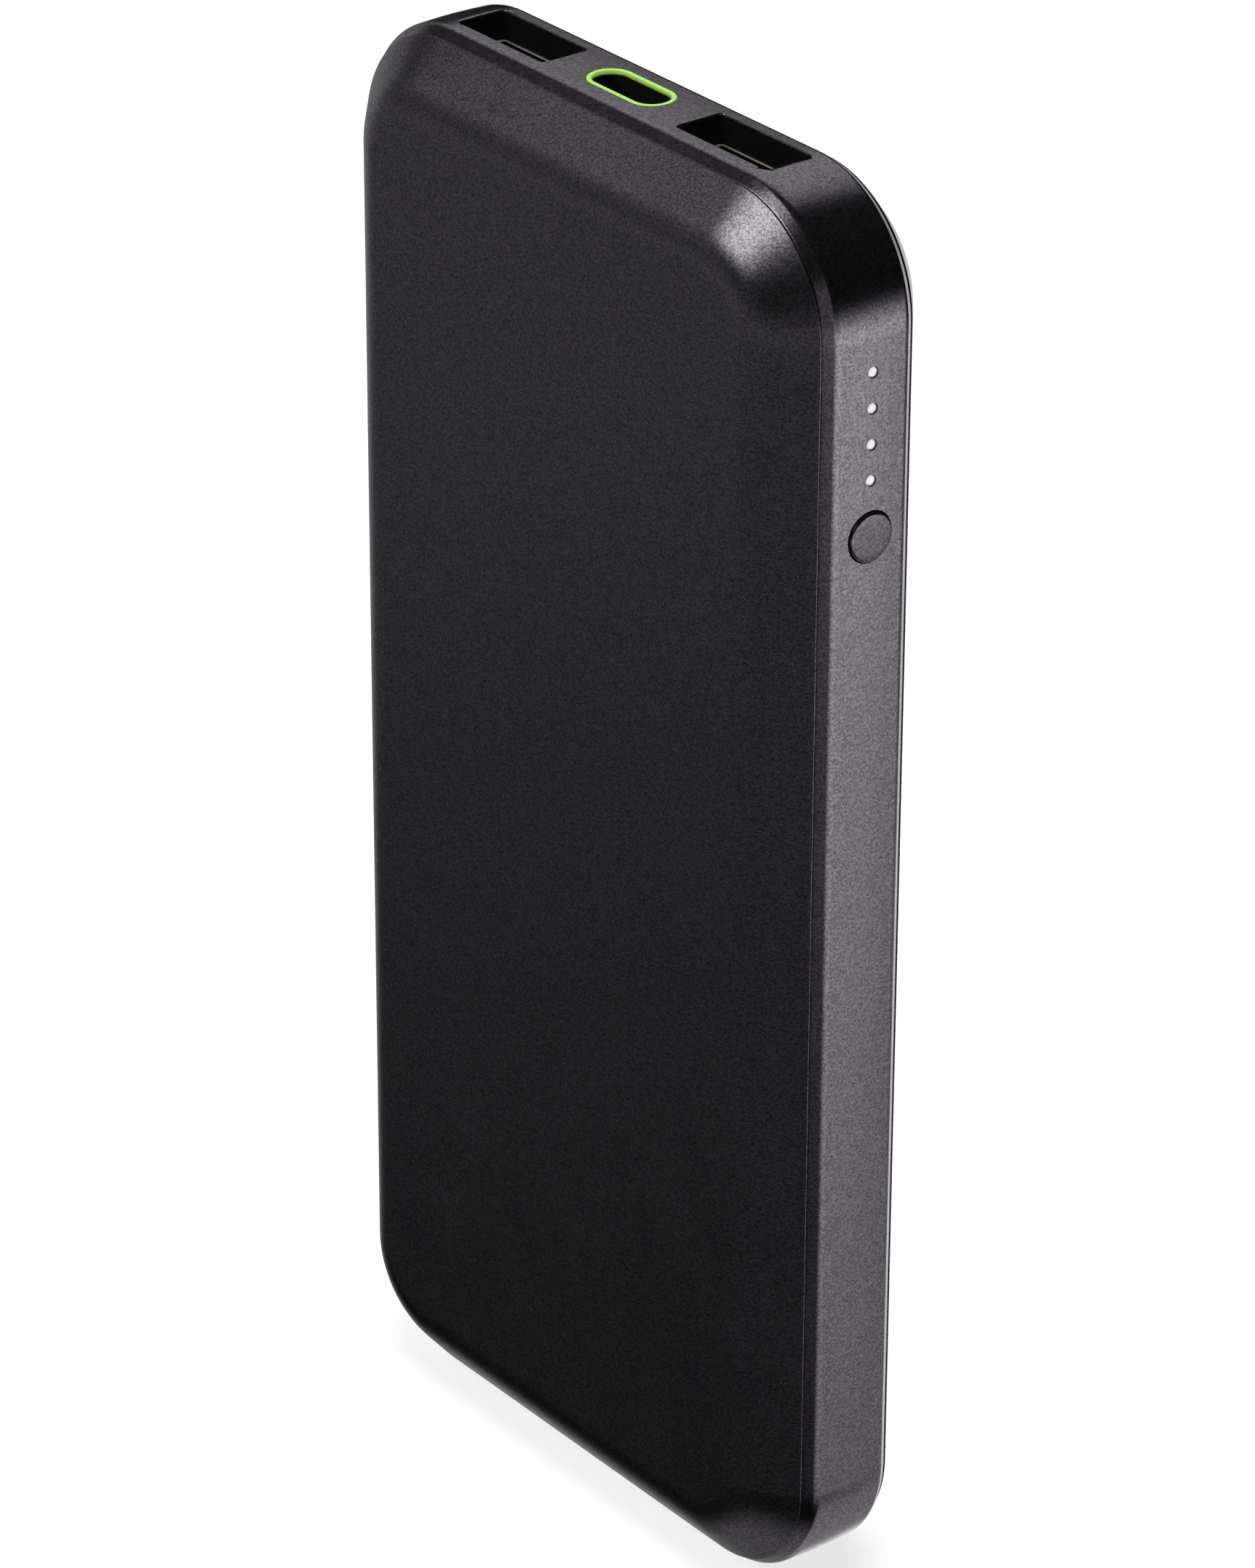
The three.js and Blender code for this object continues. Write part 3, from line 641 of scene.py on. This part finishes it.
def build_ports():
    build_accent_ring()
    for side in ("left", "right"):
        lo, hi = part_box(f"usb_a_shell_{side}")
        centre = (lo.x + hi.x) / 2 / MM
        shell, tongue = f"usb_a_shell_{side}", f"usb_a_tongue_{side}"
        build_shell(shell, centre, WIDE_SHELL, WIDE_SHELL_CORNER, WIDE_SHELL_WALL, 6)
        build_tongue(tongue, centre, WIDE_BLADE, WIDE_BLADE_Y, WIDE_BASE, WIDE_BASE_HEIGHT)
    lo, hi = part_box("usb_c_shell")
    half = (hi.x / MM, hi.y / MM)
    build_shell("usb_c_shell", 0, half, half[1], SLIM_SHELL_WALL, 12)
    build_tongue("usb_c_tongue", 0, SLIM_BLADE, 0, SLIM_BASE, SLIM_BASE_HEIGHT)


# ---------------------------------------------------------------- button and lights

def build_button():
    lo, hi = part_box("power_button")
    centre = (lo.z + hi.z) / 2 / MM
    top, back = hi.x / MM, lo.x / MM
    flange_back = back + 0.25
    flange_front = flange_back + 0.6
    corners = [
        (0.02, back),
        (BUTTON_STEM, back),
        (BUTTON_STEM, flange_back),
        (BUTTON_FLANGE, flange_back),
        (BUTTON_FLANGE, flange_front),
        (BUTTON_CAP, flange_front),
        (BUTTON_CAP, top - 0.02),
        (1.2, top),
        (0.02, top),
    ]
    profile = rounded_path(corners, [0.08, 0, 0.08, 0.08, 0, 0.28, 0.4], 5)
    place(revolve_x("power_button_cap", profile, centre), "button", "button", "button", "power_button")


def build_light_guide():
    lo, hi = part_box("light_guide")
    bar_back = lo.x / MM
    bar_front = bar_back + LIGHT_BAR_DEPTH
    middle = (lo.z + hi.z) / 2 / MM
    half_y, half_z = hi.y / MM, (hi.z - lo.z) / 2 / MM
    outline = rounded_rect(half_y, half_z, 0.4, 4)
    ends = [[(x, y, middle + z) for y, z in outline] for x in (bar_back, bar_front)]
    bar = skin("charge_light_guide", ends)
    corners = [(LIGHT_PIN, bar_front - 0.5), (LIGHT_PIN, HALF_WIDTH - 0.02), (0.02, HALF_WIDTH)]
    tip = rounded_path(corners, [0.3], 5)
    for height in light_heights():
        carve(bar, revolve_x("pin", tip, height, 24), "UNION")
    place(bar, "case", "lens", "lens", "light_guide")


# ---------------------------------------------------------------- pieces kept from the CAD model

CAD_LOOKS = {
    "usb_a_contact": "contact", "main_board": "board", "side_board": "board",
    "protection_board": "board", "board_header": "insulator", "boost_inductor": "ferrite",
    "sense_resistor": "chip", "power_controller_chip": "chip", "protocol_chip": "chip",
    "protection_chip": "chip", "power_transistor": "chip", "output_capacitor": "ceramic",
    "indicator_led": "led", "board_screw": "steel", "switch_cover": "steel",
    "switch_base": "insulator", "switch_plunger": "insulator",
    "cell_tab": "nickel", "cell_tape": "tape", "cell_front": "pouch", "cell_back": "pouch",
    "insulation_card": "card", "lead_plus": "lead_red", "lead_minus": "lead_black",
}


def build_foam_pads():
    """Die-cut foam between each cell and its cover, with edges that bulge where it is pressed."""
    for side in ("front", "back"):
        node = f"foam_pad_{side}"
        lo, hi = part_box(node)
        half_x, half_z = hi.x / MM, (hi.z - lo.z) / 2 / MM
        middle = (lo.z + hi.z) / 2 / MM
        y0, y1 = lo.y / MM, hi.y / MM
        steps = 8
        loops = []
        for i in range(steps + 1):
            across = -math.cos(i / steps * math.pi)
            inset = FOAM_BULGE * (1 - math.sqrt(max(1 - across * across, 0)))
            y = (y0 + y1) / 2 + across * (y1 - y0) / 2
            outline = rounded_rect(half_x - inset, half_z - inset, FOAM_CORNER - inset, steps)
            loops.append([(x, y, middle + z) for x, z in outline])
        pad = skin(f"foam_{side}", loops)
        place(pad, "case", "foam", "foam", node)


def dress_cad_nodes():
    for name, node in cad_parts.items():
        look = next((value for start, value in CAD_LOOKS.items() if name.startswith(start)), None)
        if look is None:
            continue
        node.data.materials.clear()
        node.data.materials.append(MATERIALS[look])


# ---------------------------------------------------------------- stage

def build_stage():
    bpy.ops.mesh.primitive_plane_add(size=8, location=(0, 0, -0.0002))
    floor = bpy.context.object
    floor.name = "floor"
    material, _, shader, _ = node_material("pale_floor")
    shader.inputs["Base Color"].default_value = (0.9, 0.9, 0.9, 1)
    shader.inputs["Roughness"].default_value = 0.9
    shader.inputs["Specular IOR Level"].default_value = 0.1
    shader.inputs["Emission Color"].default_value = (1, 1, 1, 1)
    shader.inputs["Emission Strength"].default_value = 0.75
    floor.data.materials.append(material)
    floor.visible_glossy = False
    floor.visible_diffuse = False


def add_softbox(name, place_at, aim_at, size, watts):
    data = bpy.data.lights.new(name, "AREA")
    data.size = size
    data.energy = watts
    light = bpy.data.objects.new(name, data)
    light.location = place_at
    light.rotation_euler = (Vector(aim_at) - Vector(place_at)).to_track_quat("-Z", "Y").to_euler()
    bpy.context.scene.collection.objects.link(light)
    return light


# Soft light from around the object. Each patch has a direction, the angles from it in degrees
# at which it starts to fade and is gone, a brightness, and the heights, as the sine of the
# elevation, between which it rises and fades.
ALL_HEIGHTS = (-3, -2, 2, 3)
PANELS = [
    ((0.95, 0.22, 0.0), 18, 60, 1.50, (-0.74, -0.24, -0.40, 0.08)),
    ((-0.30, -0.95, -0.3), 60, 100, 0.145, (-0.54, -0.34, -0.30, 0.10)),
    ((-0.28, -0.72, 0.64), 7, 23, 2.6, ALL_HEIGHTS),
    ((-0.60, -0.40, 0.70), 14, 40, 0.03, ALL_HEIGHTS),
    ((-0.55, 0.45, 0.70), 8, 36, 0.52, ALL_HEIGHTS),
    ((-0.97, 0.10, -0.05), 10, 30, 0.25, ALL_HEIGHTS),
    ((-0.48, 0.75, -0.46), 10, 28, 1.2, ALL_HEIGHTS),
    ((-0.74, -0.60, 0.22), 6, 24, 0.07, ALL_HEIGHTS),
    ((-0.50, -0.62, 0.62), 4, 18, 0.14, ALL_HEIGHTS),
    ((0.05, 0.55, -0.83), 20, 40, 0.42, ALL_HEIGHTS),
    ((-0.70, 0.38, -0.60), 10, 28, 0.3, ALL_HEIGHTS),
    ((-0.10, -0.10, -1.0), 12, 38, 0.2, ALL_HEIGHTS),
    ((0.80, -0.60, 0.20), 5, 17, 0.15, ALL_HEIGHTS),
]
AMBIENT = 0.004


def map_smooth(tree, value, from_low, from_high, to_low, to_high):
    node = tree.nodes.new("ShaderNodeMapRange")
    node.interpolation_type = "SMOOTHSTEP"
    node.inputs["From Min"].default_value = from_low
    node.inputs["From Max"].default_value = from_high
    node.inputs["To Min"].default_value = to_low
    node.inputs["To Max"].default_value = to_high
    tree.links.new(value, node.inputs["Value"])
    return node.outputs["Result"]


def combine(tree, operation, first, second):
    node = tree.nodes.new("ShaderNodeMath")
    node.operation = operation
    for socket, value in zip(node.inputs, (first, second)):
        if isinstance(value, float):
            socket.default_value = value
        else:
            tree.links.new(value, socket)
    return node.outputs["Value"]


def build_world():
    world = bpy.data.worlds.new("studio")
    bpy.context.scene.world = world
    world.use_nodes = True
    tree = world.node_tree
    tree.nodes.clear()
    direction = tree.nodes.new("ShaderNodeTexCoord").outputs["Generated"]
    split = tree.nodes.new("ShaderNodeSeparateXYZ")
    tree.links.new(direction, split.inputs["Vector"])
    total = AMBIENT
    for towards, full, outer, brightness, heights in PANELS:
        dot = tree.nodes.new("ShaderNodeVectorMath")
        dot.operation = "DOT_PRODUCT"
        dot.inputs[1].default_value = Vector(towards).normalized()
        tree.links.new(direction, dot.inputs[0])
        edges = [math.cos(math.radians(angle)) for angle in (outer, full)]
        panel = map_smooth(tree, dot.outputs["Value"], *edges, 0, brightness)
        rise = map_smooth(tree, split.outputs["Z"], heights[0], heights[1], 0, 1)
        fade = map_smooth(tree, split.outputs["Z"], heights[2], heights[3], 1, 0)
        window = combine(tree, "MULTIPLY", rise, fade)
        total = combine(tree, "ADD", total, combine(tree, "MULTIPLY", panel, window))
    studio = tree.nodes.new("ShaderNodeBackground")
    tree.links.new(total, studio.inputs["Strength"])
    white = tree.nodes.new("ShaderNodeBackground")
    white.inputs["Strength"].default_value = 1.0
    path = tree.nodes.new("ShaderNodeLightPath")
    mix = tree.nodes.new("ShaderNodeMixShader")
    output = tree.nodes.new("ShaderNodeOutputWorld")
    tree.links.new(path.outputs["Is Camera Ray"], mix.inputs["Fac"])
    tree.links.new(studio.outputs["Background"], mix.inputs[1])
    tree.links.new(white.outputs["Background"], mix.inputs[2])
    tree.links.new(mix.outputs["Shader"], output.inputs["Surface"])


# The view: angles in degrees, distances in metres, and the lens's shift as a share of the frame.
VIEW_AZIMUTH = 52.11
VIEW_ELEVATION = 27.32
VIEW_ROLL = 0.21
VIEW_DISTANCE = 0.6615
VIEW_TARGET = Vector((-0.0008, 0, 0.0728))
VIEW_LENS = 159.16
VIEW_SHIFT = (0.0026, 0.0050)


def build_camera():
    data = bpy.data.cameras.new("camera")
    camera = bpy.data.objects.new("camera", data)
    bpy.context.scene.collection.objects.link(camera)
    azimuth, elevation = math.radians(VIEW_AZIMUTH), math.radians(VIEW_ELEVATION)
    flat = math.cos(elevation)
    back = Vector((math.sin(azimuth) * flat, -math.cos(azimuth) * flat, math.sin(elevation)))
    camera.location = VIEW_TARGET + back * VIEW_DISTANCE
    turn = (-back).to_track_quat("-Z", "Y").to_matrix().to_4x4()
    roll = Matrix.Rotation(math.radians(VIEW_ROLL), 4, "Z")
    camera.rotation_euler = (turn @ roll).to_euler()
    data.lens = VIEW_LENS
    data.shift_x, data.shift_y = VIEW_SHIFT
    data.clip_start = 0.01
    data.clip_end = 20
    bpy.context.scene.camera = camera


build_camera()
build_frame()
build_cover("front_cover", -1)
build_cover("back_cover", 1)
build_ports()
build_button()
build_light_guide()
build_foam_pads()
dress_cad_nodes()
build_stage()
build_world()
add_softbox("overhead", (0.05, 0.0, 0.75), (0, 0, 0.1), 0.45, 2.0).visible_glossy = False
bpy.context.scene.view_settings.view_transform = "Standard"
